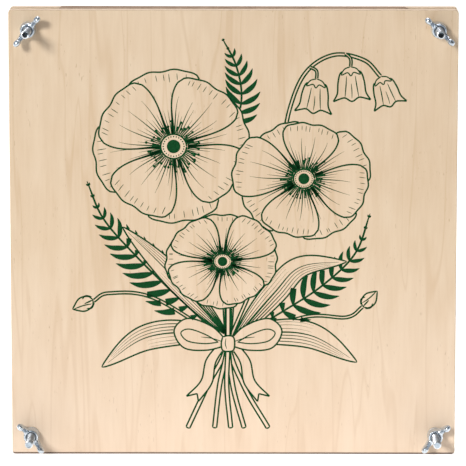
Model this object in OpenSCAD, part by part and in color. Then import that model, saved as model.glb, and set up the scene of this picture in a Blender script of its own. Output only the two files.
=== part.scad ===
// Flower press: two plywood boards with a stack of cardboard and blotting paper between them,
// drawn together at the corners by four bolts with wing nuts.
// Every piece is drawn with the press lying on its back: X to the right, Y up the boards and
// Z out of the front. stand() then sets the press upright on its bottom edge, front to -Y.

/* [Boards] */
// Width of both boards
board_w = 330; // [240:1:500]
// Height of both boards
board_h = 333; // [240:1:500]
// Thickness of each board
board_t = 8; // [6:0.5:14]
// Radius of the boards' corners, seen from the front
corner_r = 2.5; // [1.5:0.1:12]
// Width of the bevel that sanding leaves along the boards' edges
edge_ease = 0.5; // [0.2:0.1:1.2]
// Distance from each bolt's axis to the two board edges beside it
bolt_inset = 14.5; // [13:0.5:30]

/* [Stack of sheets] */
// Thickness of one cardboard sheet
cardboard_t = 1.5; // [0.8:0.1:4]
// Thickness of one sheet of blotting paper
paper_t = 0.25; // [0.1:0.05:0.8]
// Gap between the two papers of a pair, where the flowers lie
leaf_gap = 0.1; // [0.05:0.05:0.5]
// Distance that the cardboard stays inside the boards' edges
cardboard_inset = 1; // [0.5:0.1:6]
// Distance that the blotting paper stays inside the boards' edges
paper_inset = 2.5; // [1.5:0.1:10]
// Clear space between a bolt and the sheets' cut corners
corner_clear = 4.4; // [2:0.1:20]
// How far the loosest cardboard sheet has slipped upwards
sheet_slip = 2; // [0.2:0.1:2.5]
// Turn of the loosest sheet about the press's own axis, in degrees
sheet_turn = 0.17; // [0:0.01:0.25]

/* [Carriage bolts] */
// Diameter of the bolts' shank
bolt_d = 6; // [5:0.5:8]
// Length of the bolts under the head
bolt_len = 60; // [50:1:100]
// Diameter of the bolts' domed head
head_d = 16.5; // [14:0.5:20]
// Height of the domed head
head_h = 3.9; // [2.5:0.1:5]
// Height of the straight rim under the dome
head_rim = 0.7; // [0.3:0.1:1.2]
// Width of the square neck under the head
neck_side = 6.4; // [6:0.1:9]
// Length of the square neck
neck_h = 4.6; // [2:0.1:5]
// Gap between the square neck and its socket in the board
neck_play = 0.05; // [0.02:0.01:0.2]
// Length of the chamfer at the bolts' end
tip_ease = 0.9; // [0.3:0.1:1.5]
// Gap all round between the shank and a hole in a board
hole_play = 0.25; // [0.1:0.05:1]

/* [Washers] */
// Outer diameter of the washers
washer_d = 12; // [11:0.5:18]
// Thickness of the washers
washer_t = 1.6; // [0.8:0.1:2.5]
// Gap all round between the shank and a washer
washer_play = 0.2; // [0.1:0.05:0.6]
// Width of the washers' bevelled outer edge
washer_ease = 0.25; // [0.1:0.05:0.4]

/* [Wing nuts] */
// Diameter of the hub where it sits on the washer
hub_base_d = 12; // [11:0.1:15]
// Diameter of the hub at its outer end
hub_top_d = 10.6; // [9.5:0.1:13]
// Height of the hub
hub_h = 7.5; // [5:0.1:9]
// Height of the straight collar at the hub's foot
hub_collar = 1.2; // [0.5:0.1:2.5]
// Bevel of the hub's outer edges
hub_ease = 0.4; // [0.2:0.1:0.8]
// Diameter of the countersunk mouth of the nut's bore
mouth_d = 8; // [6.5:0.1:9]
// Gap all round between the shank and the nut's bore
nut_play = 0.05; // [0.02:0.01:0.1]
// Distance between the wings' outer tips
wing_span = 28.5; // [24:0.5:36]
// Height of the wings' tips over the washer
wing_top = 15; // [12:0.5:20]
// Radius of a wing's rounded end, seen from the side
wing_end_r = 2.9; // [2:0.1:4]
// Half of a wing's height where it grows out of the hub
wing_root_r = 3; // [2:0.1:3.4]
// Height of the wing's middle where it grows out of the hub
wing_root_z = 4; // [3.4:0.1:5]
// Thickness of the wings
wing_t = 3.4; // [1.8:0.1:4]
// Thickness of the bulb at each wing's end
bulb_t = 4.5; // [2.5:0.1:5]

/* [How the wing nuts are left standing] */
// Turn of the upper left nut's wings from level
turn_upper_left = 49.5; // [-90:0.5:90]
// Turn of the upper right nut's wings from level
turn_upper_right = -43; // [-90:0.5:90]
// Turn of the lower left nut's wings from level
turn_lower_left = -49; // [-90:0.5:90]
// Turn of the lower right nut's wings from level
turn_lower_right = 45; // [-90:0.5:90]

/* [Hidden] */
$fn = 64;

// How far every cut runs past the solid that it opens
overrun = 1;

// The four corners as signs of X and Y from the middle of the boards
UPPER_LEFT = [-1, 1];
UPPER_RIGHT = [1, 1];
LOWER_LEFT = [-1, -1];
LOWER_RIGHT = [1, -1];
CORNERS = [UPPER_LEFT, UPPER_RIGHT, LOWER_LEFT, LOWER_RIGHT];

// Places of the sheets, counted from the back: cardboard lies first and last, and each gap
// between two cardboard sheets holds a pair of papers
last_cardboard = 5;
layer_pitch = cardboard_t + 2 * paper_t + leaf_gap;
stack_t = (last_cardboard - 1) * layer_pitch + cardboard_t;
front_board_z = board_t + stack_t;
washer_z = front_board_z + board_t;
nut_z = washer_z + washer_t;

// The bounding box's middle from front to back, which lies halfway along the whole bolt
middle_z = (bolt_len - head_h) / 2;

// How each sheet has slipped, as shares of sheet_slip to the right and up, and of sheet_turn.
// The first and last cardboard sheets have slid down, level with the boards' lower edges
cardboard_slip_shares = [
    [0.1, -cardboard_inset / sheet_slip, 0],
    [-0.2, 1, -0.6],
    [0.15, 0.8, -1],
    [-0.1, 0.85, 0.4],
    [0.25, -cardboard_inset / sheet_slip, 0]
];
paper_slip_shares = [
    [0.2, 0, 0.5],
    [-0.3, 0.1, -0.4],
    [0.1, -0.1, 0.8],
    [0.4, 0.2, -0.7],
    [-0.2, 0, 0.2],
    [0, 0.15, -0.3],
    [0.3, -0.1, 0.6],
    [-0.1, 0.1, -0.2]
];

// Number of straight steps in a wing's long sides and in its rounded end
side_steps = 12;
end_steps = 10;

// Where a wing's middle line starts, which way it leaves the hub, and where it ends. The shares
// say how far out it starts inside the hub, and how far out and up it bends
wing_start_share = 0.5;
bend_out_share = 0.476;
bend_up_share = 0.2;
wing_start = [wing_start_share * hub_top_d / 2, wing_root_z];
wing_bend = [
    bend_out_share * (hub_base_d + wing_span) / 2,
    wing_root_z + bend_up_share * wing_root_r
];
wing_end = [wing_span / 2 - wing_end_r, wing_top - wing_end_r];

function corner_place(sides) = [
    sides[0] * (board_w / 2 - bolt_inset),
    board_h / 2 + sides[1] * (board_h / 2 - bolt_inset)
];

// Outline of a rectangle with its four corners bevelled
function bevelled(w, h, bevel) = [
    [bevel, 0], [w - bevel, 0], [w, bevel], [w, h - bevel],
    [w - bevel, h], [bevel, h], [0, h - bevel], [0, bevel]
];

// A point on a curve that leaves a towards b and arrives at c from b, and its direction there
function bend_point(a, b, c, t) = (1 - t) * (1 - t) * a + 2 * t * (1 - t) * b + t * t * c;
function bend_way(a, b, c, t) = (1 - t) * (b - a) + t * (c - b);
function square_to(v) = [-v[1], v[0]] / norm(v);

// Point t along one long side of a wing: the middle line moved sideways by half the height
function wing_side(t, sign) =
    bend_point(wing_start, wing_bend, wing_end, t)
    + sign * (wing_root_r + t * (wing_end_r - wing_root_r))
    * square_to(bend_way(wing_start, wing_bend, wing_end, t));

// Outline of a wing from the side: along its lower edge, round its end and back to the hub
function wing_outline() =
    let (out = bend_way(wing_start, wing_bend, wing_end, 1))
    let (out_angle = atan2(out[1], out[0]))
    concat(
        [for (i = [0:side_steps]) wing_side(i / side_steps, -1)],
        [for (i = [1:end_steps - 1])
            let (a = out_angle - 90 + 180 * i / end_steps)
            wing_end + wing_end_r * [cos(a), sin(a)]],
        [for (i = [side_steps:-1:0]) wing_side(i / side_steps, 1)]
    );

// Sets the press upright, with its front to -Y and its origin under the middle of its box
module stand() {
    translate([0, middle_z, 0])
        rotate([90, 0, 0])
            children();
}

// A board's blank: the bevelled section runs up and across, and turned corners join the two
module board_blank() {
    translate([0, board_h - corner_r, 0])
        rotate([90, 0, 0])
            linear_extrude(board_h - 2 * corner_r)
                translate([-board_w / 2, 0])
                    polygon(bevelled(board_w, board_t, edge_ease));
    translate([corner_r - board_w / 2, 0, 0])
        rotate([90, 0, 90])
            linear_extrude(board_w - 2 * corner_r)
                polygon(bevelled(board_h, board_t, edge_ease));
    for (sides = CORNERS)
        translate([
            sides[0] * (board_w / 2 - corner_r),
            board_h / 2 + sides[1] * (board_h / 2 - corner_r),
            0
        ])
            rotate_extrude()
                intersection() {
                    translate([-corner_r, 0])
                        polygon(bevelled(2 * corner_r, board_t, edge_ease));
                    square([corner_r, board_t]);
                }
}

// The round holes that all four bolts pass through
module bolt_holes() {
    for (sides = CORNERS)
        translate(concat(corner_place(sides), [-overrun]))
            cylinder(h = board_t + 2 * overrun, d = bolt_d + 2 * hole_play);
}

module back_board() {
    socket = neck_side + 2 * neck_play;
    color("#ead3b0")
        stand()
            difference() {
                board_blank();
                bolt_holes();
                for (sides = CORNERS)
                    translate(concat(corner_place(sides), [(neck_h + neck_play - overrun) / 2]))
                        cube([socket, socket, neck_h + neck_play + overrun], center = true);
            }
}

module front_board() {
    color("#ecd6b4")
        stand()
            translate([0, 0, front_board_z])
                difference() {
                    board_blank();
                    bolt_holes();
                }
}

// Domed head on the back board, square neck in its socket, and the shank through to the nut
module carriage_bolt(sides) {
    dome_h = head_h - head_rim;
    dome_r = (head_d * head_d / 4 + dome_h * dome_h) / (2 * dome_h);
    color("#b9bec2")
        stand()
            translate(concat(corner_place(sides), [0])) {
                translate([0, 0, -head_rim])
                    cylinder(h = head_rim, d = head_d);
                intersection() {
                    translate([0, 0, dome_r - head_h])
                        sphere(r = dome_r);
                    translate([0, 0, -head_h - overrun])
                        cylinder(h = dome_h + overrun, d = head_d);
                }
                translate([-neck_side / 2, -neck_side / 2, 0])
                    cube([neck_side, neck_side, neck_h]);
                cylinder(h = bolt_len - tip_ease, d = bolt_d);
                translate([0, 0, bolt_len - tip_ease])
                    cylinder(h = tip_ease, d1 = bolt_d, d2 = bolt_d - 2 * tip_ease);
            }
}

module washer(sides) {
    bore_r = bolt_d / 2 + washer_play;
    color("#c3c7ca")
        stand()
            translate(concat(corner_place(sides), [washer_z]))
                rotate_extrude()
                    intersection() {
                        translate([-washer_d / 2, 0])
                            polygon(bevelled(washer_d, washer_t, washer_ease));
                        translate([bore_r, 0])
                            square([washer_d / 2 - bore_r, washer_t]);
                    }
}

// Tapered hub with a straight collar at its foot
module nut_hub() {
    rotate_extrude()
        polygon([
            [0, 0],
            [hub_base_d / 2 - hub_ease, 0],
            [hub_base_d / 2, hub_ease],
            [hub_base_d / 2, hub_collar],
            [hub_top_d / 2, hub_h - hub_ease],
            [hub_top_d / 2 - hub_ease, hub_h],
            [0, hub_h]
        ]);
}

// One wing: its side outline, kept only where it lies inside its outline seen from above
module nut_wing() {
    intersection() {
        translate([0, bulb_t / 2, 0])
            rotate([90, 0, 0])
                linear_extrude(bulb_t)
                    polygon(wing_outline());
        linear_extrude(wing_top) {
            translate([0, -wing_t / 2])
                square([wing_span / 2 - bulb_t / 2, wing_t]);
            translate([wing_span / 2 - bulb_t / 2, 0])
                circle(d = bulb_t);
        }
    }
}

module wing_nut(sides, turn) {
    bore_d = bolt_d + 2 * nut_play;
    mouth_h = (mouth_d - bore_d) / 2;
    color("#b4babf")
        stand()
            translate(concat(corner_place(sides), [nut_z]))
                rotate([0, 0, turn])
                    difference() {
                        union() {
                            nut_hub();
                            nut_wing();
                            mirror([1, 0, 0])
                                nut_wing();
                        }
                        translate([0, 0, -overrun])
                            cylinder(h = wing_top + 2 * overrun, d = bore_d);
                        translate([0, 0, hub_h - mouth_h])
                            cylinder(h = mouth_h, d1 = bore_d, d2 = mouth_d);
                        translate([0, 0, hub_h])
                            cylinder(h = wing_top, d = mouth_d);
                    }
}

// A sheet of the stack: its corners are cut at 45 degrees to pass inside the bolts
module sheet(inset, thickness, z, slip_shares) {
    w = board_w - 2 * inset;
    h = board_h - 2 * inset;
    cut = 2 * (bolt_inset - inset) + (bolt_d / 2 + corner_clear) * sqrt(2);
    stand()
        translate([sheet_slip * slip_shares[0], board_h / 2 + sheet_slip * slip_shares[1], z])
            rotate([0, 0, sheet_turn * slip_shares[2]])
                translate([-w / 2, -h / 2, 0])
                    linear_extrude(thickness)
                        polygon(bevelled(w, h, cut));
}

// Cardboard sheet number n, counted from the back board
module cardboard_sheet(n) {
    color("#b08a62")
        sheet(cardboard_inset, cardboard_t, board_t + (n - 1) * layer_pitch,
            cardboard_slip_shares[n - 1]);
}

// Sheet of blotting paper number n, counted from the back board, two in each gap
module blotting_paper(n) {
    pair = floor((n - 1) / 2);
    upper = (n - 1) % 2;
    color("#efeade")
        sheet(paper_inset, paper_t,
            board_t + pair * layer_pitch + cardboard_t + upper * (paper_t + leaf_gap),
            paper_slip_shares[n - 1]);
}

back_board();
front_board();
carriage_bolt(UPPER_LEFT);  // carriage_bolt_upper_left
carriage_bolt(UPPER_RIGHT);  // carriage_bolt_upper_right
carriage_bolt(LOWER_LEFT);  // carriage_bolt_lower_left
carriage_bolt(LOWER_RIGHT);  // carriage_bolt_lower_right
washer(UPPER_LEFT);  // washer_upper_left
washer(UPPER_RIGHT);  // washer_upper_right
washer(LOWER_LEFT);  // washer_lower_left
washer(LOWER_RIGHT);  // washer_lower_right
wing_nut(UPPER_LEFT, turn_upper_left);  // wing_nut_upper_left
wing_nut(UPPER_RIGHT, turn_upper_right);  // wing_nut_upper_right
wing_nut(LOWER_LEFT, turn_lower_left);  // wing_nut_lower_left
wing_nut(LOWER_RIGHT, turn_lower_right);  // wing_nut_lower_right
cardboard_sheet(1);  // cardboard_sheet_1
cardboard_sheet(2);  // cardboard_sheet_2
cardboard_sheet(3);  // cardboard_sheet_3
cardboard_sheet(4);  // cardboard_sheet_4
cardboard_sheet(5);  // cardboard_sheet_5
blotting_paper(1);  // blotting_paper_1
blotting_paper(2);  // blotting_paper_2
blotting_paper(3);  // blotting_paper_3
blotting_paper(4);  // blotting_paper_4
blotting_paper(5);  // blotting_paper_5
blotting_paper(6);  // blotting_paper_6
blotting_paper(7);  // blotting_paper_7
blotting_paper(8);  // blotting_paper_8
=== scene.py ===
import math

import bpy
import numpy as np
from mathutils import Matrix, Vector


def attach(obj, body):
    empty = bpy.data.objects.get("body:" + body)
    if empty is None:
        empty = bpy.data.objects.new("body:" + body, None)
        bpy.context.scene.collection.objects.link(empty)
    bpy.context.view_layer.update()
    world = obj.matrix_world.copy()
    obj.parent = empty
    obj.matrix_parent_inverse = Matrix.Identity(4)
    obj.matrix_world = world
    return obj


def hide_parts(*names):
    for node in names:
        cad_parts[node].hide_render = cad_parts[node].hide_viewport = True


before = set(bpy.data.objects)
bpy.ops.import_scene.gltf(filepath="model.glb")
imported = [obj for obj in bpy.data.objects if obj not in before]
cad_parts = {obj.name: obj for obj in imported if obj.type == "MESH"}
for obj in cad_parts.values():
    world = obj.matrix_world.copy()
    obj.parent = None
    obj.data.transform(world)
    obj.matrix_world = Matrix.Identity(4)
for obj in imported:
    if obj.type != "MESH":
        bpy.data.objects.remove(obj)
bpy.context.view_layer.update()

# Sizes are in millimetres and drawn with the press lying on its back: x runs to the right,
# y up the boards and z out of the front. upright() sets such points into the frame.
BOARD_W, BOARD_H, BOARD_T, PLIES = 330.0, 333.0, 8.0, 5
BOLT_INSET, BOLT_R, BOLT_LENGTH = 14.5, 3.0, 60.0
HEAD_R, HEAD_H, HEAD_RIM = 8.25, 3.9, 0.7
NECK_HALF, NECK_H, NECK_POWER = 3.2, 4.6, 9
CARDBOARD_T, PAPER_T, LEAF_GAP = 1.5, 0.25, 0.1
LAYER_PITCH = CARDBOARD_T + 2 * PAPER_T + LEAF_GAP
STACK_T = 4 * LAYER_PITCH + CARDBOARD_T
FACE_Z = 2 * BOARD_T + STACK_T
WASHER_T, WASHER_R, WASHER_HOLE_R = 1.6, 6.0, 3.2
NUT_Z = FACE_Z + WASHER_T
MIDDLE_Z = (BOLT_LENGTH - HEAD_H) / 2

CORNERS = {
    "upper_left": (-1, 1),
    "upper_right": (1, 1),
    "lower_left": (-1, -1),
    "lower_right": (1, -1),
}
# Degrees by which each nut is turned on its bolt
NUT_TURNS = {"upper_left": 49.5, "upper_right": -43, "lower_left": -49, "lower_right": 45}
# Degrees by which the bolts' ends, cut off in a shear, lean up the press
END_SLANTS = {"upper_left": 9, "upper_right": 7, "lower_left": 0.5, "lower_right": -1}


def upright(points):
    """The press raised onto its bottom edge: x stays, height becomes z and depth runs to -y."""
    x, y, z = np.moveaxis(np.asarray(points, float), -1, 0)
    return np.stack([x, MIDDLE_Z - z, y], -1) / 1000


def skin(grid, rows_round=False):
    """Four-sided faces over a grid of points (rows, columns, 3) whose columns run round.
    The rows run round too, or else the first and last row close in a fan about their mean."""
    rows, columns = grid.shape[:2]
    row = np.arange(rows if rows_round else rows - 1)[:, None]
    here, there = row * columns, (row + 1) % rows * columns
    ring = np.arange(columns)
    next_ring = (ring + 1) % columns
    ends = [here + ring, here + next_ring, there + next_ring, there + ring]
    quads = np.stack(ends, -1).reshape(-1, 4)
    points, fans = grid.reshape(-1, 3), np.zeros((0, 3), int)
    if not rows_round:
        first_middle, last = len(points), (rows - 1) * columns
        first_fan = np.stack([ring * 0 + first_middle, next_ring, ring], -1)
        last_fan = np.stack([ring * 0 + first_middle + 1, last + ring, last + next_ring], -1)
        points = np.vstack([points, grid[0].mean(0), grid[-1].mean(0)])
        fans = np.vstack([first_fan, last_fan])
    return points, quads, fans


def joined(skins):
    """Several skins as one: the faces' numbers move on by the points that come before."""
    starts = np.cumsum([0] + [len(points) for points, _, _ in skins])
    return (
        np.vstack([points for points, _, _ in skins]),
        np.vstack([quads + start for (_, quads, _), start in zip(skins, starts)]),
        np.vstack([fans + start for (_, _, fans), start in zip(skins, starts)]),
    )


def piece(name, shape, body, material, stands_for=(), sharp_angle=40, finishes=()):
    """A mesh object from a skin in millimetres, riding on its body in place of CAD nodes."""
    points, quads, fans = shape
    mesh = bpy.data.meshes.new(name)
    mesh.from_pydata(upright(points).tolist(), [], quads.tolist() + fans.tolist())
    mesh.materials.append(material)
    for finish, faces in finishes:
        mesh.materials.append(finish)
        number = len(mesh.materials) - 1
        mesh.polygons.foreach_set("material_index", np.where(faces, number, 0).astype(np.int32))
    mesh.shade_smooth()
    mesh.set_sharp_from_angle(angle=math.radians(sharp_angle))
    mesh.update()
    made = bpy.data.objects.new(name, mesh)
    bpy.context.scene.collection.objects.link(made)
    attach(made, body)
    if stands_for:
        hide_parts(*stands_for)


def turned(profile, steps=72, rows_round=False):
    """A profile of (radius, z) carried once round the z axis."""
    radius, z = np.asarray(profile, float).T[..., None]
    angle = np.arange(steps) / steps * math.tau
    grid = np.stack([radius * np.cos(angle), radius * np.sin(angle), z + 0 * angle], -1)
    return skin(grid, rows_round)


def spun(points, degrees):
    """Points turned about the z axis."""
    x, y, z = points.T
    cosine, sine = math.cos(math.radians(degrees)), math.sin(math.radians(degrees))
    return np.stack([x * cosine - y * sine, x * sine + y * cosine, z], -1)


def at_corner(points, corner, z=0.0, turn=0.0):
    """Points about a bolt's axis, turned about it by degrees and set at a corner of the press."""
    side, end = CORNERS[corner]
    place = (side * (BOARD_W / 2 - BOLT_INSET), BOARD_H / 2 + end * (BOARD_H / 2 - BOLT_INSET), z)
    return spun(points, turn) + place


def eased(amount):
    """A step from 0 to 1 that starts and ends level: 3 a a - 2 a a a."""
    a = np.clip(amount, 0, 1)
    return a * a * (3 - 2 * a)


# Materials


def linear(colour):
    """An sRGB hex colour as the linear red, green, blue and alpha that shaders take."""
    s = np.array([int(colour[i : i + 2], 16) / 255 for i in (1, 3, 5)])
    return (*np.where(s <= 0.04045, s / 12.92, ((s + 0.055) / 1.055) ** 2.4), 1.0)


def connect(tree, node, inputs):
    """Gives each input of a node, by name or number, a value or a link."""
    for name, value in inputs.items():
        if isinstance(value, bpy.types.NodeSocket):
            tree.links.new(value, node.inputs[name])
        else:
            node.inputs[name].default_value = value


def add(tree, kind, inputs=None, stops=(), **settings):
    """Adds a node with its settings, inputs and a ramp's two stops, and returns its outputs.
    A MapRange's inputs are 0 the value, 1 and 2 the range it comes from, 3 and 4 the range it
    goes to. A Mix of colours has 0 the share of the second, 6 the first and 7 the second."""
    node = tree.nodes.new("ShaderNode" + kind)
    for name, value in settings.items():
        setattr(node, name, value)
    connect(tree, node, inputs or {})
    for number, (position, colour) in enumerate(stops):
        element = node.color_ramp.elements[number]
        element.position, element.color = position, linear(colour)
    return node.outputs


def blank_material(name):
    """A new material with its node tree, its surface shader and the piece's own coordinates."""
    made = bpy.data.materials.new(name)
    made.use_nodes = True
    tree = made.node_tree
    return made, tree, tree.nodes["Principled BSDF"], add(tree, "TexCoord")["Object"]


def grain(tree, place, width, length, detail, distortion=0.0):
    """Noise whose spots are so many millimetres wide and long, the length up the press."""
    scale = (1000 / width, 1000 / width, 1000 / length)
    scaled = add(tree, "VectorMath", {0: place, 1: scale}, operation="MULTIPLY")[0]
    noise = {"Vector": scaled, "Scale": 1.0, "Detail": detail, "Distortion": distortion}
    return add(tree, "TexNoise", noise)[0]


def veneer_face(tree, place, streaks):
    """Rotary-cut birch veneer: upright figure in waves 55 mm wide, clouds of 10 mm and fine
    streaks, then growth rings, flecks and pin knots. Its foot is painted paler: painted light from the floor."""
    figure = grain(tree, place, 55, 210, 3, 0.8)
    cloud = grain(tree, place, 10, 46, 5, 0.3)
    face = add(tree, "ValToRGB", {0: figure}, stops=[(0.3, "#c7b095"), (0.7, "#d3bfa7")])[0]
    tone = add(tree, "ValToRGB", {0: cloud}, stops=[(0.3, "#c6ae92"), (0.7, "#d8c7b2")])[0]
    thin = add(tree, "ValToRGB", {0: streaks}, stops=[(0.3, "#c8ae8e"), (0.6, "#d6c2a8")])[0]
    face = add(tree, "Mix", {0: 0.4, 6: face, 7: tone}, data_type="RGBA")[2]
    face = add(tree, "Mix", {0: 0.18, 6: face, 7: thin}, data_type="RGBA")[2]

    # Growth rings: soft tan lines up to 3 mm wide, where the noise passes through a half
    contour = grain(tree, place, 19, 260, 1, 0.8)
    ring = add(tree, "Math", {0: contour, 1: 0.5}, operation="SUBTRACT")[0]
    ring = add(tree, "Math", {0: ring}, operation="ABSOLUTE")[0]
    ring = add(tree, "MapRange", {0: ring, 2: 0.03, 3: 0.3, 4: 0.0}, interpolation_type="SMOOTHSTEP")[0]
    face = add(tree, "Mix", {0: ring, 6: face, 7: linear("#b89a77")}, data_type="RGBA")[2]

    # Flecks: small brown ticks 0.8 mm wide, gathered in patches
    fleck = add(tree, "MapRange", {0: grain(tree, place, 0.8, 5, 1), 1: 0.7, 2: 0.78})[0]
    patch = add(tree, "MapRange", {0: grain(tree, place, 24, 60, 2), 1: 0.48, 2: 0.62, 4: 0.55})[0]
    fleck = add(tree, "Math", {0: fleck, 1: patch}, operation="MULTIPLY")[0]
    face = add(tree, "Mix", {0: fleck, 6: face, 7: linear("#93704a")}, data_type="RGBA")[2]

    # Pin knots: small brown ovals, one in some of the cells, of which 14 go to a metre across
    # and 9 to a metre up
    cells = add(tree, "VectorMath", {0: place, 1: (14.0, 14.0, 9.0)}, operation="MULTIPLY")[0]
    knots = add(tree, "TexVoronoi", {"Vector": cells, "Scale": 1.0})
    kept = add(tree, "SeparateColor", {0: knots["Color"]})[0]
    kept = add(tree, "Math", {0: kept, 1: 0.55}, operation="GREATER_THAN")[0]
    near = add(tree, "MapRange", {0: knots["Distance"], 1: 0.007, 2: 0.02, 3: 0.8, 4: 0.0})[0]
    knot = add(tree, "Math", {0: near, 1: kept}, operation="MULTIPLY")[0]
    face = add(tree, "Mix", {0: knot, 6: face, 7: linear("#7c5534")}, data_type="RGBA")[2]

    # Painted light: the lowest 160 mm of the face are mixed towards a pale colour, as if lit by the floor
    # below
    height = add(tree, "SeparateXYZ", {0: place})[2]
    painted_floor_light = add(tree, "MapRange", {0: height, 1: 0.16, 2: 0.0, 3: 0.0, 4: 0.2})[0]
    return add(tree, "Mix", {0: painted_floor_light, 6: face, 7: linear("#ecdad6")}, data_type="RGBA")[2]


def plied_edge(tree, place, facing, streaks, back_z):
    """The edge of five plies: from one to the next, and from the upright edges to the level
    ones, long grain and end grain change places. Dark glue lines 0.2 mm wide part them."""
    ply_t = BOARD_T / PLIES
    back_y = (MIDDLE_Z - back_z) / 1000
    y = add(tree, "SeparateXYZ", {0: place})[1]
    counted = {0: y, 1: back_y, 2: back_y - BOARD_T / 1000, 4: float(PLIES)}
    ply = add(tree, "MapRange", counted, clamp=False)[0]
    odd = add(tree, "Math", {0: ply, 1: 2.0}, operation="MODULO")[0]
    odd = add(tree, "Math", {0: odd, 1: 1.0}, operation="GREATER_THAN")[0]
    level = add(tree, "Math", {0: facing[2], 1: facing[0]}, operation="GREATER_THAN")[0]
    ends = add(tree, "Math", {0: level, 1: odd}, operation="SUBTRACT")[0]
    ends = add(tree, "Math", {0: ends}, operation="ABSOLUTE")[0]
    # Real pores are about 0.1 mm wide: they are drawn at 0.35 mm, so that they show
    pores = grain(tree, place, 0.35, 0.35, 2)
    long_wood = add(tree, "ValToRGB", {0: streaks}, stops=[(0.3, "#e1ccb3"), (0.7, "#ecdcc7")])[0]
    end_wood = add(tree, "ValToRGB", {0: pores}, stops=[(0.35, "#cab095"), (0.65, "#dec9b0")])[0]
    edge = add(tree, "Mix", {0: ends, 6: long_wood, 7: end_wood}, data_type="RGBA")[2]
    from_middle = add(tree, "Math", {0: ply, 1: 0.5}, operation="SUBTRACT")[0]
    from_middle = add(tree, "Math", {0: from_middle, 1: 0.5}, operation="PINGPONG")[0]
    bonded = {0: from_middle, 1: 0.5 - 0.1 / ply_t, 2: 0.5 - 0.03 / ply_t, 4: 0.6}
    glue = add(tree, "MapRange", bonded)[0]
    return add(tree, "Mix", {0: glue, 6: edge, 7: linear("#93755a")}, data_type="RGBA")[2]


def birch_plywood(name, back_z):
    """Birch plywood, rotary cut, sanded and sealed. The face gives a calm pale satin with
    faint upright figure, fine streaks and small brown flecks; on the edges five plies show,
    long grain and end grain by turns, parted by dark glue lines. back_z is the board's back."""
    made, tree, shader, place = blank_material(name)
    streaks = grain(tree, place, 1.6, 24, 4)
    way = add(tree, "VectorMath", {0: add(tree, "NewGeometry")["Normal"]}, operation="ABSOLUTE")[0]
    facing = add(tree, "SeparateXYZ", {0: way})
    face = veneer_face(tree, place, streaks)
    edge = plied_edge(tree, place, facing, streaks, back_z)
    flat = add(tree, "MapRange", {0: facing[1], 1: 0.8, 2: 0.99})[0]
    wood = add(tree, "Mix", {0: flat, 6: edge, 7: face}, data_type="RGBA")[2]

    # Painted shade: the eased edges are darkened a little, as shade falls on them, and the lowest 1.5 mm
    # most, a painted contact shadow where the board stands on the table
    eased_edge = add(tree, "MapRange", {0: facing[1], 1: 0.1, 2: 0.4})[0]
    eased_edge = add(tree, "Math", {0: eased_edge, 1: flat}, operation="SUBTRACT", use_clamp=True)[0]
    height = add(tree, "SeparateXYZ", {0: place})[2]
    foot = add(tree, "MapRange", {0: height, 1: 0.0015, 2: 0.001, 4: 0.95})[0]
    edge_shade_shares = {0: eased_edge, 1: 0.12, 2: foot}
    painted_edge_shade = add(tree, "Math", edge_shade_shares, operation="MULTIPLY_ADD", use_clamp=True)[0]
    wood = add(tree, "Mix", {0: painted_edge_shade, 6: wood, 7: linear("#503a30")}, data_type="RGBA")[2]

    surface = {
        "Base Color": wood,
        "Roughness": add(tree, "MapRange", {0: streaks, 3: 0.46, 4: 0.6})[0],
        "Specular IOR Level": 0.35,
        "Normal": add(tree, "Bump", {"Strength": 0.12, "Distance": 0.0001, "Height": streaks})[0],
    }
    connect(tree, shader, surface)
    return made


def zinc_plated_steel(name, dark, light, grain_mm, smooth, rough, mirror):
    """Mild steel, forged, rolled or stamped, with a clear-passivated zinc coat. It gives bright
    cool reflections with a slightly clouded sheen, and the grain of the work beneath it. The
    coat scatters some of the light, and only the share called mirror is reflected as on metal.
    The grain's size is in millimetres, and its roughness runs from smooth to rough."""
    made, tree, shader, place = blank_material(name)
    clouds = add(tree, "TexNoise", {"Vector": place, "Scale": 1000 / 3.5, "Detail": 3.0})[0]
    worked = add(tree, "TexNoise", {"Vector": place, "Scale": 1000 / grain_mm, "Detail": 4.0})[0]
    surface = {
        "Base Color": add(tree, "ValToRGB", {0: clouds}, stops=[(0.3, dark), (0.7, light)])[0],
        "Metallic": mirror,
        "Roughness": add(tree, "MapRange", {0: worked, 1: 0.3, 2: 0.7, 3: smooth, 4: rough})[0],
        "Normal": add(tree, "Bump", {"Strength": 0.25, "Distance": 0.00003, "Height": worked})[0],
    }
    connect(tree, shader, surface)
    return made


def kraft_board(name, dark, light):
    """Unbleached kraft paper, as on corrugated cardboard: matt brown with darker and lighter
    fibres lying mostly one way, which keep it from looking like plastic. They are drawn 0.35
    mm wide, far coarser than real ones, so that they show."""
    made, tree, shader, place = blank_material(name)
    fibres = grain(tree, place, 0.35, 2.2, 5.0)
    clouds = add(tree, "TexNoise", {"Vector": place, "Scale": 1000 / 14, "Detail": 3.0})[0]
    mixed = add(tree, "Mix", {0: 0.4, 2: fibres, 3: clouds})[0]
    surface = {
        "Base Color": add(tree, "ValToRGB", {0: mixed}, stops=[(0.36, dark), (0.64, light)])[0],
        "Roughness": 0.88,
        "Specular IOR Level": 0.2,
        "Normal": add(tree, "Bump", {"Strength": 0.3, "Distance": 0.00006, "Height": fibres})[0],
    }
    connect(tree, shader, surface)
    return made


def blotting_paper(name):
    """Thick uncoated cotton paper: soft, matt and a little creamy, with a felted surface. Its
    tufts are drawn 0.5 mm wide, coarser than real ones, so that they show."""
    made, tree, shader, place = blank_material(name)
    spots = {"Vector": place, "Scale": 1000 / 0.5, "Detail": 5.0, "Distortion": 0.6}
    felt = add(tree, "TexNoise", spots)[0]
    surface = {
        "Base Color": add(tree, "ValToRGB", {0: felt}, stops=[(0.3, "#ddd4c0"), (0.7, "#efe9da")])[0],
        "Roughness": 0.95,
        "Specular IOR Level": 0.15,
        "Normal": add(tree, "Bump", {"Strength": 0.25, "Distance": 0.00005, "Height": felt})[0],
    }
    connect(tree, shader, surface)
    return made


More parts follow.
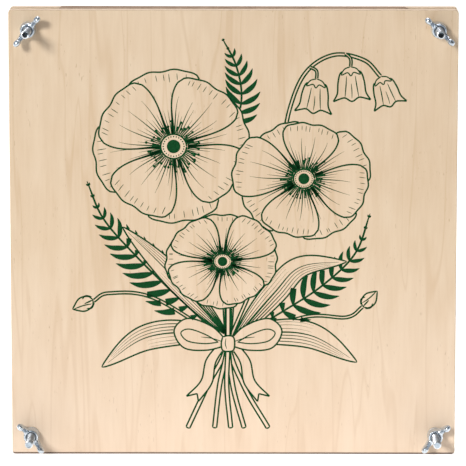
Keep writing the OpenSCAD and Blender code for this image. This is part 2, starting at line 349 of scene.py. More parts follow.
def screen_ink(name):
    """Dark green screen-printing ink: flat and matt, thinner in places where the wood drank it."""
    made, tree, shader, place = blank_material(name)
    cover = add(tree, "TexNoise", {"Vector": place, "Scale": 1000 / 1.2, "Detail": 3.0})[0]
    surface = {
        "Base Color": add(tree, "ValToRGB", {0: cover}, stops=[(0.35, "#05391a"), (0.75, "#0e4823")])[0],
        "Roughness": 0.8,
        "Specular IOR Level": 0.1,
    }
    connect(tree, shader, surface)
    return made


back_plywood = birch_plywood("birch_plywood_back", 0.0)
front_plywood = birch_plywood("birch_plywood_front", BOARD_T + STACK_T)
bolt_zinc = zinc_plated_steel("rolled_zinc_plated_steel", "#c0c7cf", "#e6ebf1", 0.25, 0.22, 0.34, 0.82)
end_zinc = zinc_plated_steel("sheared_zinc_plated_steel", "#97a6b5", "#b2c1d0", 0.5, 0.1, 0.18, 1.0)
washer_zinc = zinc_plated_steel("stamped_zinc_plated_steel", "#b9c0c8", "#dde3e8", 0.4, 0.3, 0.45, 0.6)
nut_zinc = zinc_plated_steel("forged_zinc_plated_steel", "#a9b6c4", "#dce6f0", 0.6, 0.15, 0.27, 0.8)
liner_kraft = kraft_board("kraft_liner", "#a28c7b", "#bda796")
fluting_kraft = kraft_board("recycled_fluting", "#958473", "#b09f8d")
paper_felt = blotting_paper("felted_blotting_paper")
green_ink = screen_ink("green_screen_ink")


# Boards and paper keep the shape that the CAD gives them

materials = {"back_board": back_plywood, "front_board": front_plywood}
materials.update({f"blotting_paper_{number}": paper_felt for number in range(1, 9)})
for node, material in materials.items():
    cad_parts[node].data.materials.clear()
    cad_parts[node].data.materials.append(material)


# Corrugated cardboard

LINER_T, FLUTING_T, FLUTE_PITCH = 0.22, 0.2, 3.3
# The fluting stays a little short of the sheet's ends
FLUTING_SHORT = 0.2
CARDBOARD_INSET, CORNER_CLEAR = 1.0, 4.4
CARDBOARD_W, CARDBOARD_H = BOARD_W - 2 * CARDBOARD_INSET, BOARD_H - 2 * CARDBOARD_INSET
CARDBOARD_CUT = 2 * (BOLT_INSET - CARDBOARD_INSET) + (BOLT_R + CORNER_CLEAR) * math.sqrt(2)
FLUTE_STEPS, CREST_FLATNESS = 1600, 1.6
# The body that each sheet rides on, and how it lies: millimetres to the right and up, and
# degrees of turn
CARDBOARD_LIES = {
    "back_half": (0.2, -1, 0),
    "rear_layer": (-0.4, 2, -0.102),
    "middle_layer": (0.3, 1.6, -0.17),
    "front_layer": (-0.2, 1.7, 0.068),
    "front_half": (0.5, -1, 0),
}


def plate(x, low, high, reach):
    """A thin plate from its section: at each x a ring of four points, at plus and minus reach
    in y and at the heights low and high in z."""
    ring = [(-reach, low), (reach, low), (reach, high), (-reach, high)]
    return skin(np.stack([np.stack(np.broadcast_arrays(x, y, z), -1) for y, z in ring], 1))


def corrugated_sheet():
    """Two liners with a fluted sheet between them, and which of the faces are fluting. The
    flutes run up the sheet as a sine whose crests a hyperbolic tangent flattens against the
    liners; the sheet's ends follow its cut corners."""
    bends = CARDBOARD_W / 2 - CARDBOARD_CUT

    def reach(x):
        """Half the sheet's height at x, less by as much as x lies past the bends."""
        return CARDBOARD_H / 2 - np.maximum(0, abs(x) - bends)

    liner_x = np.array([-CARDBOARD_W / 2, -bends, bends, CARDBOARD_W / 2])
    liners = [plate(liner_x, z, z + LINER_T, reach(liner_x)) for z in (0.0, CARDBOARD_T - LINER_T)]
    x = np.linspace(-CARDBOARD_W / 2, CARDBOARD_W / 2, FLUTE_STEPS)
    swing = (CARDBOARD_T - 2 * LINER_T - FLUTING_T) / 2
    wave = np.tanh(CREST_FLATNESS * np.sin(x / FLUTE_PITCH * math.tau)) / math.tanh(CREST_FLATNESS)
    middle = CARDBOARD_T / 2 + swing * wave
    fluting = plate(x, middle - FLUTING_T / 2, middle + FLUTING_T / 2, reach(x) - FLUTING_SHORT)
    parts = [*liners, fluting]
    quad_counts = [len(quads) for _, quads, _ in parts]
    fan_counts = [len(fans) for _, _, fans in parts]
    is_fluting = [np.repeat([False, False, True], counts) for counts in (quad_counts, fan_counts)]
    return joined(parts), np.concatenate(is_fluting)


def build_cardboard():
    """Five sheets, one a layer. The middle three lie a little out of line, as in a used stack."""
    (points, quads, fans), is_fluting = corrugated_sheet()
    for number, (body, (right, up, turn)) in enumerate(CARDBOARD_LIES.items(), 1):
        place = (right, BOARD_H / 2 + up, BOARD_T + (number - 1) * LAYER_PITCH)
        shape = (spun(points, turn) + place, quads, fans)
        piece(
            f"corrugated_cardboard_{number}", shape, body, liner_kraft,
            [f"cardboard_sheet_{number}"], sharp_angle=30, finishes=[(fluting_kraft, is_fluting)],
        )


build_cardboard()


# Carriage bolts

# An M6 thread: the crests are an eighth of the pitch wide and the roots a quarter
PITCH, THREAD_DEPTH, THREAD_START, THREAD_RUN_IN = 1.0, 0.613, 21.0, 1.5
CREST_FLAT, ROOT_FLAT = 1 / 8, 1 / 4
# The end's bevel, the stretch over which its lean eases in, and the small fans at both ends
TIP_BEVEL, LEAN_REACH, FAN_R = 0.9, 3.0, 0.5
TIP_R = BOLT_R - TIP_BEVEL
# How finely the bolt is divided: round its axis, and up the thread for each pitch
BOLT_SIDES, ROWS_A_PITCH = 56, 18


def carriage_bolt():
    """A bolt about its axis, row by row from the head's top: an arc for the dome, the rim, a
    square neck as a superellipse, the shank, then the thread. There the radius falls from the
    crest by a depth that depends on z / pitch - angle / turn, and the end's bevel limits it."""
    dome_h = HEAD_H - HEAD_RIM
    dome_r = (HEAD_R**2 + dome_h**2) / (2 * dome_h)
    r = np.linspace(FAN_R, HEAD_R - 0.15, 18)
    dome = np.stack([r, dome_r - HEAD_H - np.sqrt(dome_r**2 - r**2), 0 * r], -1)
    rim = [(HEAD_R, -HEAD_RIM + 0.12, 0), (HEAD_R, -0.2, 0), (HEAD_R - 0.06, -0.06, 0), (HEAD_R - 0.25, 0, 0)]
    neck = [(NECK_HALF + 0.1, 0, 1), (NECK_HALF, 0.1, 1), (NECK_HALF, NECK_H - 0.3, 1), (BOLT_R, NECK_H, 0)]
    z = np.arange(THREAD_START, BOLT_LENGTH, PITCH / ROWS_A_PITCH)
    thread = np.stack([0 * z + BOLT_R, z, 0 * z], -1)
    end = [(TIP_R, BOLT_LENGTH, 0), (TIP_R - 0.25, BOLT_LENGTH - 0.04, 0), (FAN_R, BOLT_LENGTH - 0.06, 0)]
    radius, height, square = np.vstack([dome, rim, neck, thread, end]).T[..., None]
    angle = np.arange(BOLT_SIDES) / BOLT_SIDES * math.tau
    side = (abs(np.cos(angle)) ** NECK_POWER + abs(np.sin(angle)) ** NECK_POWER) ** (-1 / NECK_POWER)
    radius = radius * (1 + square * (side - 1))
    from_crest = abs((height / PITCH - angle / math.tau) % 1 - 0.5) * 2
    cut = eased((from_crest - CREST_FLAT) / (1 - CREST_FLAT - ROOT_FLAT))
    cut = cut * eased((height - THREAD_START) / THREAD_RUN_IN)
    threaded = (height > THREAD_START) & (radius > BOLT_R - 0.01)
    bevel = BOLT_LENGTH - height + TIP_R
    radius = np.where(threaded, np.minimum(radius - THREAD_DEPTH * cut, bevel), radius)
    rows = np.broadcast_arrays(radius * np.cos(angle), radius * np.sin(angle), height)
    return skin(np.stack(rows, -1))


def leaning_end(points, slant):
    """A bolt whose flat end leans by a slant: the height falls with y, by a share that eases
    from 0 to 1 over the last few millimetres. The rim's longest side keeps the full length."""
    x, y, z = points.T
    fall = math.tan(math.radians(slant))
    share = eased((z - BOLT_LENGTH) / LEAN_REACH + 1)
    return np.stack([x, y, z - share * (fall * y + abs(fall) * TIP_R)], -1)


def build_bolts():
    """Four bolts, alike but for the lean of their ends. The cut face has a finish of its own."""
    points, quads, fans = carriage_bolt()
    x, y, z = points.T
    on_end = (z > BOLT_LENGTH - 0.1) & (np.hypot(x, y) < TIP_R + 0.01)
    is_end = np.concatenate([on_end[faces].all(1) for faces in (quads, fans)])
    for corner, slant in END_SLANTS.items():
        shape = (at_corner(leaning_end(points, slant), corner), quads, fans)
        piece(
            f"threaded_bolt_{corner}", shape, "back_half", bolt_zinc,
            [f"carriage_bolt_{corner}"], finishes=[(end_zinc, is_end)],
        )


build_bolts()


# Washers, stamped: the side that the punch entered has the rounder edges

WASHER_PROFILE = [
    (WASHER_HOLE_R + 0.05, 0), (WASHER_R - 0.05, 0), (WASHER_R, 0.06), (WASHER_R, WASHER_T - 0.35),
    (WASHER_R - 0.08, WASHER_T - 0.12), (WASHER_R - 0.3, WASHER_T), (WASHER_HOLE_R + 0.25, WASHER_T),
    (WASHER_HOLE_R + 0.06, WASHER_T - 0.1), (WASHER_HOLE_R, WASHER_T - 0.3), (WASHER_HOLE_R, 0.06),
]


def build_washers():
    """Four washers, turned from their outline and laid on the front board."""
    points, quads, fans = turned(WASHER_PROFILE, rows_round=True)
    for corner in CORNERS:
        shape = (at_corner(points, corner, FACE_Z), quads, fans)
        piece(
            f"stamped_washer_{corner}", shape, "front_half", washer_zinc,
            [f"washer_{corner}"],
        )


build_washers()


# Wing nuts

# The hub's outline as radius and height: out along the foot, up the flank and back down the bore
HUB_PROFILE = [
    (3.45, 0), (5.55, 0), (5.9, 0.12), (6.0, 0.4), (6.0, 1.15), (5.9, 1.5), (5.42, 6.2), (5.3, 6.95),
    (5.15, 7.3), (4.85, 7.5), (4.2, 7.5), (3.95, 7.35), (3.3, 5.9), (3.15, 5.6), (3.15, 0.3),
]
WING_START, WING_BEND, WING_END = np.array([[2.65, 4.0], [9.639, 4.6], [11.35, 12.1]])
WING_HALF, WING_WAIST, BULB_HALF, BULB_R = 1.85, 2.75, 2.3, 2.9
# A wing's first point, as a share of its curve, lies in the hub's wall
WING_FIRST = 0.13
# Where a wing leaves the hub, how far that tells, and what it adds to depth and thickness
ROOT_X, ROOT_REACH, ROOT_DEEPER, ROOT_THICKER = 4.6, 2.0, 0.75, 0.8
# Where along a wing its bulb begins and how long it takes to swell, as shares of the wing
SWELL_START, SWELL_LENGTH = 0.5, 0.45
# The power of the section's outline before the bulb, and what the swelling adds to round it
OBLONG_POWER, ROUNDING = 0.42, 0.48
# The skin's voxels, and how often and how strongly it is smoothed
FORGING_VOXEL, SOFTEN_TIMES, SOFTEN_SHARE = 0.22, 4, 0.5


def wing():
    """One wing: a section carried along a quadratic curve in the x-z plane, with start, bend
    and end as its three control points. The section is a rounded oblong, deep and thick where
    it leaves the hub and slimmer halfway, then swells into an oval bulb, whose end closes as a
    quarter turn of an ellipsoid."""
    t = np.linspace(WING_FIRST, 1, 36)[:, None]
    middle = (1 - t) ** 2 * WING_START + 2 * t * (1 - t) * WING_BEND + t**2 * WING_END
    way = (1 - t) * (WING_BEND - WING_START) + t * (WING_END - WING_BEND)
    way /= np.linalg.norm(way, axis=1, keepdims=True)
    root = np.exp(-(((middle[:, 0] - ROOT_X) / ROOT_REACH) ** 2))
    swell = eased((t[:, 0] - SWELL_START) / SWELL_LENGTH)
    depth = WING_WAIST + ROOT_DEEPER * root + (BULB_R - WING_WAIST) * swell
    thick = WING_HALF + ROOT_THICKER * root + (BULB_HALF - WING_HALF) * swell
    closing = np.linspace(0, 88, 12)[1:] / 180 * math.pi
    middle = np.vstack([middle, WING_END + BULB_R * np.sin(closing)[:, None] * way[-1]])
    way = np.vstack([way, np.repeat(way[-1:], len(closing), 0)])
    depth = np.append(depth, BULB_R * np.cos(closing))[:, None]
    thick = np.append(thick, BULB_HALF * np.cos(closing))[:, None]
    angle = np.arange(32) / 32 * math.tau
    power = OBLONG_POWER + ROUNDING * np.append(swell, 1 + 0 * closing)[:, None]
    across, beside = (np.sign(f(angle)) * abs(f(angle)) ** power for f in (np.cos, np.sin))
    x = middle[:, :1] + depth * across * way[:, 1:]
    z = middle[:, 1:] - depth * across * way[:, :1]
    return skin(np.stack([x, thick * beside, z], -1))


def forged_wing_nut():
    """Hub and two wings grown into one skin, as a forging is: the overlapping surfaces are
    made one by a voxel remesh and smoothed, which rounds every inner corner."""
    points, quads, fans = wing()
    hub = turned(HUB_PROFILE, steps=96, rows_round=True)
    points, quads, fans = joined([hub, (points, quads, fans), (points * (-1, -1, 1), quads, fans)])
    mesh = bpy.data.meshes.new("wing_nut_blank")
    mesh.from_pydata(points.tolist(), [], quads.tolist() + fans.tolist())
    blank = bpy.data.objects.new("wing_nut_blank", mesh)
    bpy.context.scene.collection.objects.link(blank)
    remesh = blank.modifiers.new("one_skin", "REMESH")
    remesh.mode, remesh.voxel_size = "VOXEL", FORGING_VOXEL
    smooth = blank.modifiers.new("soften", "SMOOTH")
    smooth.factor, smooth.iterations = SOFTEN_SHARE, SOFTEN_TIMES
    grown = bpy.data.meshes.new_from_object(blank.evaluated_get(bpy.context.evaluated_depsgraph_get()))
    points = np.zeros(len(grown.vertices) * 3)
    grown.vertices.foreach_get("co", points)
    quads = np.zeros(len(grown.loops), int)
    grown.loops.foreach_get("vertex_index", quads)
    bpy.data.objects.remove(blank)
    bpy.data.meshes.remove(mesh)
    bpy.data.meshes.remove(grown)
    return points.reshape(-1, 3), quads.reshape(-1, 4), np.zeros((0, 3), int)


def build_wing_nuts():
    """Four nuts on their washers, each turned its own way."""
    points, quads, fans = forged_wing_nut()
    for corner, turn in NUT_TURNS.items():
        shape = (at_corner(points, corner, NUT_Z, turn), quads, fans)
        piece(
            f"forged_wing_nut_{corner}", shape, f"nut_{corner}", nut_zinc,
            [f"wing_nut_{corner}"],
        )


build_wing_nuts()


# The print on the front board: a posy of open flowers, bells, fern and long leaves

# The ink's height on the board, its depth in the wood and its top's width as a share of its foot
INK_H, INK_SUNK, INK_TOP = 0.04, 0.03, 0.6
# A line's usual width, and the taper of a line with blunt ends
LINE_W, BLUNT = 1.45, 0.1
# A petal's half width, and how far up its shoulder is, as shares of its length
PETAL_HALF, SHOULDER = 0.46, 0.78
# What is drawn so far: lines with their half widths, and dots as x, y and radius
strokes, dots = [], []


def lengths_along(line):
    """The length of a line from its start up to each of its points."""
    return np.concatenate([[0], np.cumsum(np.linalg.norm(np.diff(line, axis=0), axis=1))])


def evenly(line, step=0.8):
    """The same line with its points spread evenly along it, about a step apart."""
    line = np.asarray(line, float)
    along = lengths_along(line)
    places = np.linspace(0, along[-1], max(3, int(along[-1] / step) + 1))
    return np.stack([np.interp(places, along, line[:, i]) for i in (0, 1)], -1)


def directions(line):
    """The way along a line and the way to its left, both one long, at each of its points."""
    way = np.gradient(line, axis=0)
    way /= np.maximum(np.linalg.norm(way, axis=1, keepdims=True), 1e-9)
    return way, np.stack([-way[:, 1], way[:, 0]], -1)


def through(points):
    """A smooth line through points: cubic pieces whose direction at each point is half the
    way from the point before it to the point after it."""
    p = np.asarray(points, float)
    wide = np.vstack([2 * p[0] - p[1], p, 2 * p[-1] - p[-2]])
    way = (wide[2:] - wide[:-2]) / 2
    t = np.linspace(0, 1, 24, endpoint=False)[None, :, None]
    a, b, u, v = p[:-1, None], p[1:, None], way[:-1, None], way[1:, None]
    fine = (2 * t**3 - 3 * t**2 + 1) * a + (t**3 - 2 * t**2 + t) * u
    fine = fine + (3 * t**2 - 2 * t**3) * b + (t**3 - t**2) * v
    return np.vstack([fine.reshape(-1, 2), p[-1]])


def inside(points, outline):
    """Which points lie inside a closed outline: a ray to the right crosses it an odd number
    of times."""
    x, y = points[:, 0:1], points[:, 1:2]
    ax, ay = outline.T
    bx, by = np.roll(outline, -1, axis=0).T
    spans = (ay > y) != (by > y)
    with np.errstate(divide="ignore", invalid="ignore"):
        meets = ax + (y - ay) * (bx - ax) / (by - ay)
    return (spans & (x < meets)).sum(1) % 2 == 1


def cover(outline):
    """Cuts away what earlier strokes and dots have inside an outline, so that it lies in front."""
    low, high = outline.min(0), outline.max(0)
    for number in range(len(strokes)):
        line, width = strokes[number]
        if len(line) == 0 or (line.max(0) < low).any() or (line.min(0) > high).any():
            continue
        kept = ~inside(line, outline)
        if kept.all():
            continue
        edges = np.flatnonzero(np.diff(np.concatenate([[False], kept, [False]]).astype(int)))
        runs = [(line[a:b], width[a:b]) for a, b in zip(edges[::2], edges[1::2]) if b - a > 2]
        strokes[number] = runs[0] if runs else (line[:0], width[:0])
        strokes.extend(runs[1:])
    if dots:
        hidden = inside(np.array(dots)[:, :2], outline)
        dots[:] = [dot for dot, gone in zip(dots, hidden) if not gone]


def pen(line, width=LINE_W, taper=5.0):
    """A stroke along a line. Its half width falls off towards both ends over the taper."""
    line = evenly(line)
    along = lengths_along(line)
    end = np.minimum(along, along[-1] - along) / taper
    strokes.append((line, width / 2 * (0.3 + 0.7 * np.sqrt(np.clip(end, 0, 1)))))


def wedge(line, width):
    """A stroke that starts at its full width and thins out evenly to a point."""
    line = evenly(line)
    strokes.append((line, width / 2 * np.linspace(1, 0.12, len(line))))


def brush(line, width):
    """A leaf-shaped stroke: its half width is a sine over its length, fullest before the middle."""
    line = evenly(line, 0.6)
    share = np.linspace(0.02, 0.98, len(line)) ** 0.8
    strokes.append((line, width / 2 * np.sin(math.pi * share) ** 0.85))


def moved(points, place, turn, scale, flatten=1.0):
    """Points of a motif set in place: scaled, turned by degrees and flattened from above."""
    a = math.radians(turn)
    x, y = np.asarray(points, float).T * scale
    turned_y = x * math.sin(a) + y * math.cos(a)
    return np.stack([x * math.cos(a) - y * math.sin(a), turned_y * flatten], -1) + place


def petal_width(s):
    """A petal's half width at s of its length, as a share of the widest: a tenth at its foot,
    then a sine to the power 1.5 that reaches the whole at the shoulder."""
    return 0.1 + 0.9 * np.sin(s / SHOULDER * math.pi / 2) ** 1.5


def petal_end(q):
    """How far a petal's end stands out at q of its half width: a flat oval of power 2.6."""
    return 0.22 * (1 - abs(q) ** 2.6) ** 0.5


def petal_outline(notch):
    """A petal one unit long: its sides widen up to the shoulder, and the end between them is
    a flat oval with shallow notches."""
    s = np.linspace(0.12, SHOULDER, 24)
    side = PETAL_HALF * petal_width(s)
    q = np.linspace(1, -1, 28)
    tip = SHOULDER + petal_end(q) * (1 - notch * (1 + np.cos(3 * math.pi * q)) / 2)
    left, right = np.stack([s, side], -1), np.stack([s, -side], -1)[::-1]
    return np.vstack([left, np.stack([tip, PETAL_HALF * q], -1), right])


def petal(rng, set_down, notch):
    """A petal's outline, eleven veins from its foot, a fold at each side and short strokes in
    from its end. set_down puts the unit petal's points in their place on the board."""
    outline = set_down(petal_outline(notch))
    cover(outline)
    pen(outline, taper=3)
    for rank, share in enumerate(np.linspace(-0.84, 0.84, 11)):
        reach = (0.56, 0.78, 0.46)[rank % 3] * (1 - 0.25 * abs(share)) + 0.03 * rng.standard_normal()
        s = np.linspace(0.14, reach, 24)
        vein = np.stack([s, 0.43 * share * petal_width(s)], -1)
        wedge(set_down(vein), LINE_W * (1.0 if rank % 3 == 1 else 0.8))
    for side in (-1, 1):
        s = np.linspace(0.13, 0.46 + 0.04 * rng.standard_normal(), 20)
        wedge(set_down(np.stack([s, 0.45 * side * petal_width(s)], -1)), 3.4)
    for share in np.linspace(-0.8, 0.8, 9) + 0.04 * rng.standard_normal(9):
        top = 0.76 + petal_end(share)
        reach = top - (0.1 + 0.05 * rng.random())
        pen(set_down([(top - 0.035, 0.46 * share), (reach, 0.44 * share)]), LINE_W * 0.6, taper=6)


def flower_middle(rng, place, radius, flatten):
    """A ring of 44 stamens, each a thin stroke with a dot at its end, round a small disc with
    a ring of 24 dots and one large dot."""
    for number in range(44):
        a, reach = number / 44 * 360 + 3 * rng.standard_normal(), 0.29 + 0.04 * rng.standard_normal()
        thread = [(reach, 0), ((0.15 + reach) / 2, 0.008), (0.15, 0)]
        wedge(moved(thread, place, a, radius, flatten), LINE_W * 0.75)
        dots.append((*moved([(reach + 0.012, 0)], place, a, radius, flatten)[0], 0.021 * radius))
    circle = np.stack([f(np.linspace(0, math.tau, 60)) for f in (np.cos, np.sin)], -1)
    cover(moved(circle * 0.17, place, 0, radius, flatten))
    pen(moved(circle * 0.165, place, 0, radius, flatten), LINE_W * 1.1, BLUNT)
    for a in range(0, 360, 15):
        dots.append((*moved([(0.132, 0)], place, a, radius, flatten)[0], 0.011 * radius))
    dots.append((*place, 0.105 * radius))


def open_flower(place, radius, petals, turn, flatten, notch):
    """Two rounds of petals, the second in front of the first, each of its own length, turn and
    lean, and the flower's middle."""
    rng = np.random.default_rng(int(radius * 10))
    for number in [*range(0, petals, 2), *range(1, petals, 2)]:
        length = radius * (1 + 0.05 * rng.standard_normal())
        spin = number * 360 / petals + 4 * rng.standard_normal()
        lean = 0.03 * rng.standard_normal()

        def set_down(points):
            """The unit petal bent sideways by lean times x squared, spun and set on the board."""
            x, y = np.asarray(points, float).T
            bent = np.stack([x, y + lean * x * x], -1)
            return moved(moved(bent, (0, 0), spin, length), place, turn, 1, flatten)

        petal(rng, set_down, notch)
    flower_middle(rng, place, radius, flatten)


def long_leaf(spine, half):
    """A long leaf with veins that run its whole length beside the middle one. Its half width
    is a sine to the power 0.8 over its length."""
    line = evenly(through(spine), 1.2)
    width = half * np.sin(np.linspace(0, math.pi, len(line))) ** 0.8
    offset = directions(line)[1] * width[:, None]
    cover(np.vstack([line + offset, (line - offset)[::-1]]))
    pen(line + offset, taper=3)
    pen(line - offset, taper=3)
    wedge(line[: int(len(line) * 0.95)], LINE_W * 1.6)
    for share in (-0.72, -0.48, -0.24, 0.28, 0.56, 0.8):
        reach, weight = (0.9, 0.95) if share < 0 else (0.62, 0.7)
        wedge((line + offset * share)[2 : int(len(line) * reach)], LINE_W * weight)


def fern(spine, longest, pairs):
    """A frond: pairs of solid leaflets along a spine, longest over a quarter of the way up."""
    line = evenly(through(spine), 0.6)
    way = directions(line)[0]
    pen(line, LINE_W * 1.25, taper=12)
    for number in range(pairs, -1, -1):
        share = 0.14 + 0.84 * number / pairs
        at = int(share * (len(line) - 1))
        length = longest * (math.sin(math.pi * min(1.0, (share + 0.12) ** 0.75)) ** 0.7 * 0.9 + 0.1)
        for side in (-1, 1):
            angle = math.degrees(math.atan2(way[at][1], way[at][0])) + side * (62 - 26 * share)
            bent = [(0, 0), (0.35, 0.05 * side), (0.7, 0.03 * side), (1, -0.08 * side)]
            brush(moved(through(bent), line[at], angle, length), length * 0.2 + 1.4)


def stem(spine, half, cut=False):
    """A round stem: two lines either side of its spine, and one across its end where it is cut."""
    line = evenly(through(spine), 1.0)
    left, right = line + half * directions(line)[1], line - half * directions(line)[1]
    cover(np.vstack([left, right[::-1]]))
    pen(left, taper=BLUNT)
    pen(right, taper=BLUNT)
    if cut:
        pen([left[-1], right[-1]], taper=BLUNT)


def bellflower(place, size, turn):
    """A hanging bell: rounded shoulders, sides that open towards a rim of three blunt lobes,
    ribs down its middle and a small three-pointed cap on top."""

    def set_down(points):
        """A smooth line through the points, as large as asked, turned and set on the board."""
        return moved(through(points), place, turn, size)

    side = [(0.0, 0.14), (0.1, 0.33), (0.4, 0.42), (0.75, 0.46), (1.0, 0.6)]
    rim = [(1.0, 0.6), (0.93, 0.4), (0.9, 0.22), (1.02, 0.0), (0.9, -0.22), (0.93, -0.4), (1.0, -0.6)]
    other = [(x, -y) for x, y in side[::-1]]
    outline = np.vstack([set_down(side), set_down(rim), set_down(other)])
    cover(outline)
    pen(outline, taper=BLUNT)
    for y in (-1, 1):
        pen(set_down([(0.2, 0.14 * y), (0.5, 0.17 * y), (0.88, 0.22 * y)]), LINE_W * 0.7, taper=6)
    pen(set_down([(0.45, 0.0), (0.7, 0.01), (0.92, 0.0)]), LINE_W * 0.6, taper=6)
    cap = [(-0.1, 0), (-0.02, 0.2), (0.16, 0.3), (0.09, 0.1), (0.2, 0)]
    cap = set_down(cap + [(x, -y) for x, y in cap[-2::-1]])
    cover(cap)
    pen(cap, LINE_W * 0.8, BLUNT)


def bud(place, size, turn):
    """A closed bud: two long sides, an overlapping petal and a cup of sepals."""

    def set_down(points):
        """A smooth line through the points, as large as asked, turned and set on the board."""
        return moved(through(points), place, turn, size)

    side = [(0, 0), (0.15, 0.24), (0.55, 0.3), (1.0, 0.0)]
    left, right = set_down(side), set_down([(x, -y) for x, y in side])
    cover(np.vstack([left, right[::-1]]))
    pen(left, taper=2)
    pen(right, taper=2)
    pen(set_down([(0.12, 0.14), (0.5, 0.05), (0.95, 0.02)]), LINE_W * 0.8, taper=4)
    for tip in (0.3, 0.0, -0.3):
        pen(set_down([(0, tip * 0.5), (0.22, tip), (0.42, tip * 0.75)]), LINE_W, taper=3)


def bow(place):
    """A ribbon tied in a bow: two tails, two loops with their folds, and the knot on top."""

    def set_down(points, side):
        """A smooth line through the points, mirrored for the left side, about the knot."""
        return through([(x * side, y) for x, y in points]) + place

    for side in (-1, 1):
        inner = set_down([(0, 0), (9, -14), (12, -30), (22, -44)], side)
        outer = set_down([(5, 2), (16, -12), (20, -28), (31, -40)], side)
        tail = np.vstack([inner, [place + (23 * side, -38)], outer[::-1]])
        cover(tail)
        pen(tail, taper=BLUNT)
    for side in (-1, 1):
        loop = set_down([(0, 1), (12, 13), (30, 19), (40, 10), (33, -3), (16, -5), (0, -1)], side)
        cover(loop)
        pen(loop, taper=BLUNT)
        hollow = [(7, 1), (17, 7), (29, 11), (35, 8), (30, 2), (18, 0), (7, 1)]
        pen(set_down(hollow, side), LINE_W * 0.8, taper=2)
        pen(set_down([(3, 1), (12, 4), (20, 5)], side), LINE_W * 0.6, taper=6)
    knot = set_down([(-4, 5), (0, 6), (4, 5), (5, 0), (4, -5), (0, -6), (-4, -5), (-5, 0), (-4, 5)], 1)
    cover(knot)
    pen(knot, taper=BLUNT)
    pen(set_down([(-1.5, 4), (-2, 0), (-1, -4)], 1), LINE_W * 0.6, taper=3)


def draw_posy():
    """The posy from back to front, in millimetres from the middle of the board's foot."""
    tie = np.array([-4.0, 84.0])
    fern([tie, (-40, 118), (-72, 150), (-96, 178), (-108, 206)], 25, 15)
    fern([tie, (36, 108), (66, 128), (90, 152), (101, 182)], 22, 14)
    fern([(0, 240), (6, 268), (2, 292), (-8, 312)], 17, 9)
    stem([tie, (22, 150), (34, 220), (42, 262), (54, 288), (74, 300), (96, 296), (108, 284)], 1.1)
    stem([(56, 291), (61, 288), (61, 281)], 0.8)
    stem([(82, 301), (86, 297), (86, 290)], 0.8)
    bellflower((61, 280), 23, -96)
    bellflower((86, 289), 23, -87)
    bellflower((109, 282), 21, -72)
    stem([tie, (-58, 118), (-92, 122), (-104, 116)], 1.0)
    bud((-104, 117), 17, 205)
    stem([tie, (52, 104), (84, 104), (96, 112)], 1.0)
    bud((96, 112), 16, 48)
    long_leaf([tie, (-30, 92), (-66, 88), (-98, 66)], 10)
    long_leaf([tie, (24, 92), (58, 90), (92, 70)], 10)
    long_leaf([tie + (0, 6), (-50, 140), (-82, 172)], 8)
    for foot, bend in ((-34, -12), (26, 10), (-14, -6), (8, 3), (-2, 0)):
        spine = [(tie[0] - bend * 0.35, 150), tie + (0, 2), (tie[0] + foot * 0.45, 52), (foot, 20)]
        stem(spine, 1.5, cut=True)
    long_leaf([tie + (2, 0), (30, 122), (50, 142), (84, 146)], 9)
    open_flower((-44, 232), 58, 8, 12, 0.96, 0.1)
    open_flower((52, 208), 47, 8, 30, 0.92, 0.12)
    open_flower((-8, 146), 41, 8, -6, 0.86, 0.12)
    bow(tie)


def stroke_skin(line, half):
    """A stroke as a low bar on the board's face: across each point of the line a ring of four
    corners, the two lower ones sunk a little into the wood."""
    across = directions(line)[1] * half[:, None]
    ring = [(1, -INK_SUNK), (INK_TOP, INK_H), (-INK_TOP, INK_H), (-1, -INK_SUNK)]
    corners = [np.insert(line + across * share, 2, FACE_Z + z, axis=1) for share, z in ring]
    return skin(np.stack(corners, 1))


def build_print():
    """The posy's strokes and dots, shared between two pieces to keep each one's file small."""
    draw_posy()
    shapes = [stroke_skin(line, half) for line, half in strokes if len(line) > 2]
    for x, y, r in dots:
        points, quads, fans = turned([(r, -INK_SUNK), (INK_TOP * r, INK_H)], steps=24)
        shapes.append((points + (x, y, FACE_Z), quads, fans))
    middle = len(shapes) // 2
    for name, share in (("posy_print_lower", shapes[:middle]), ("posy_print_upper", shapes[middle:])):
        piece(name, joined(share), "front_half", green_ink)


build_print()


# Floor, lights, room and camera, in metres and degrees

FLOOR_SIDE, FLOOR_BACK = 12, 30
PRESS_MIDDLE = (0.0, 0.0, 0.167)
CAMERA_PLACE = (0.01454, -2.7, 0.6334)
CAMERA_DOWN, CAMERA_YAW = 9.574, 0.314
LENS_MM, LENS_SHIFT = 286.6, -0.0293


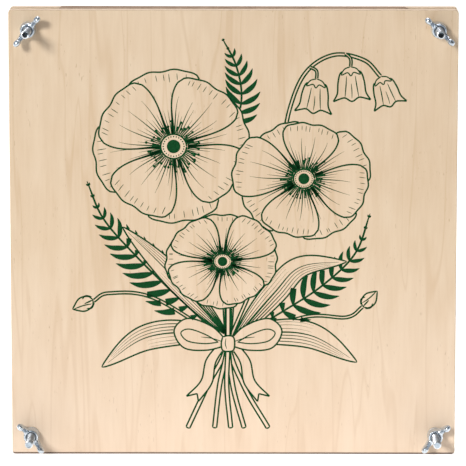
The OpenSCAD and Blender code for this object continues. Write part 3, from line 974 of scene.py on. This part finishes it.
def pale_floor():
    """A pale seamless floor that glows with light of its own, though it is no lamp, so that it
    stays white right up to the horizon. It glows less in front, where it would show in the
    bolts, but for a glowing pool of light before the press that lights its foot from below."""
    made, tree, shader, place = blank_material("white_studio_paper")
    mottle = add(tree, "TexNoise", {"Vector": place, "Scale": 3.0, "Detail": 2.0})[0]
    smooth = {"interpolation_type": "SMOOTHSTEP"}
    far = add(tree, "VectorMath", {0: place}, operation="LENGTH")["Value"]
    glow = add(tree, "MapRange", {0: far, 1: 0.2, 2: 1.6, 3: 0.52, 4: 0.9}, **smooth)[0]
    front = add(tree, "SeparateXYZ", {0: place})[1]
    lit = add(tree, "MapRange", {0: front, 1: -0.5, 2: -0.08, 3: 0.06, 4: 1.0}, **smooth)[0]
    away = add(tree, "VectorMath", {0: place, 1: (0.03, -0.13, 0.0)}, operation="DISTANCE")["Value"]
    # Painted light: a glowing pool on the floor before the press, which brightens the press's foot and thins
    # its shadows there
    pool = add(tree, "MapRange", {0: away, 1: 0.08, 2: 0.3, 3: 0.5, 4: 0.0}, **smooth)[0]
    surface = {
        "Base Color": add(tree, "ValToRGB", {0: mottle}, stops=[(0.3, "#f4f4f3"), (0.7, "#f8f8f7")])[0],
        "Roughness": 0.9,
        "Specular IOR Level": 0.1,
        "Emission Color": linear("#fffaf4"),
        "Emission Strength": add(tree, "Math", {0: glow, 1: lit, 2: pool}, operation="MULTIPLY_ADD")[0],
    }
    connect(tree, shader, surface)
    side, back = FLOOR_SIDE, FLOOR_BACK
    mesh = bpy.data.meshes.new("studio_floor")
    corners = [(-side, -side, 0), (side, -side, 0), (side, back, 0), (-side, back, 0)]
    mesh.from_pydata(corners, [], [(0, 1, 2, 3)])
    mesh.materials.append(made)
    floor = bpy.data.objects.new("studio_floor", mesh)
    bpy.context.scene.collection.objects.link(floor)


def soft_light(name, way, distance, size, power, colour):
    """A square area light that shines at the middle of the press from a direction."""
    light = bpy.data.lights.new(name, "AREA")
    light.shape, light.size, light.energy, light.color = "SQUARE", size, power, linear(colour)[:3]
    lamp = bpy.data.objects.new(name, light)
    bpy.context.scene.collection.objects.link(lamp)
    way = Vector(way).normalized()
    lamp.location = Vector(PRESS_MIDDLE) + way * distance
    lamp.rotation_euler = way.to_track_quat("Z", "Y").to_euler()


def studio_room():
    """The room that the zinc mirrors: dark in front of the press, bright behind it and with a
    faint ceiling."""
    world = bpy.data.worlds.new("studio_room")
    world.use_nodes = True
    tree = world.node_tree
    ways = add(tree, "SeparateXYZ", {0: add(tree, "TexCoord")["Generated"]})
    behind = add(tree, "MapRange", {0: ways[1], 1: -0.15, 2: 0.05, 3: 0.02, 4: 0.5})[0]
    ceiling = add(tree, "MapRange", {0: ways[2], 1: 0.3, 2: 0.9, 3: 0.0, 4: 0.05})[0]
    bright = add(tree, "Math", {0: behind, 1: ceiling}, operation="MAXIMUM")[0]
    connect(tree, tree.nodes["Background"], {"Color": linear("#f4f6f9"), "Strength": bright})
    bpy.context.scene.world = world


def long_lens():
    """The camera, set back in front of the press, a little above it and looking down. Its
    shift moves the picture up without tilting the upright edges."""
    camera = bpy.data.cameras.new("camera")
    camera.sensor_width, camera.lens, camera.shift_y = 36.0, LENS_MM, LENS_SHIFT
    camera.clip_start, camera.clip_end = 0.1, 100.0
    viewer = bpy.data.objects.new("camera", camera)
    viewer.location = CAMERA_PLACE
    viewer.rotation_euler = (math.radians(90 - CAMERA_DOWN), 0, math.radians(CAMERA_YAW))
    bpy.context.scene.collection.objects.link(viewer)
    bpy.context.scene.camera = viewer


pale_floor()
soft_light("key_light", (-0.5, -1.0, 0.42), 6.0, 1.15, 267, "#fffdf8")
soft_light("high_light", (-0.12, -0.64, 0.77), 4.0, 1.4, 14, "#f6faff")
soft_light("top_light", (0.0, 0.5, 1.0), 1.5, 0.8, 13, "#fff9fa")
studio_room()
long_lens()
bpy.context.scene.view_settings.view_transform = "Standard"
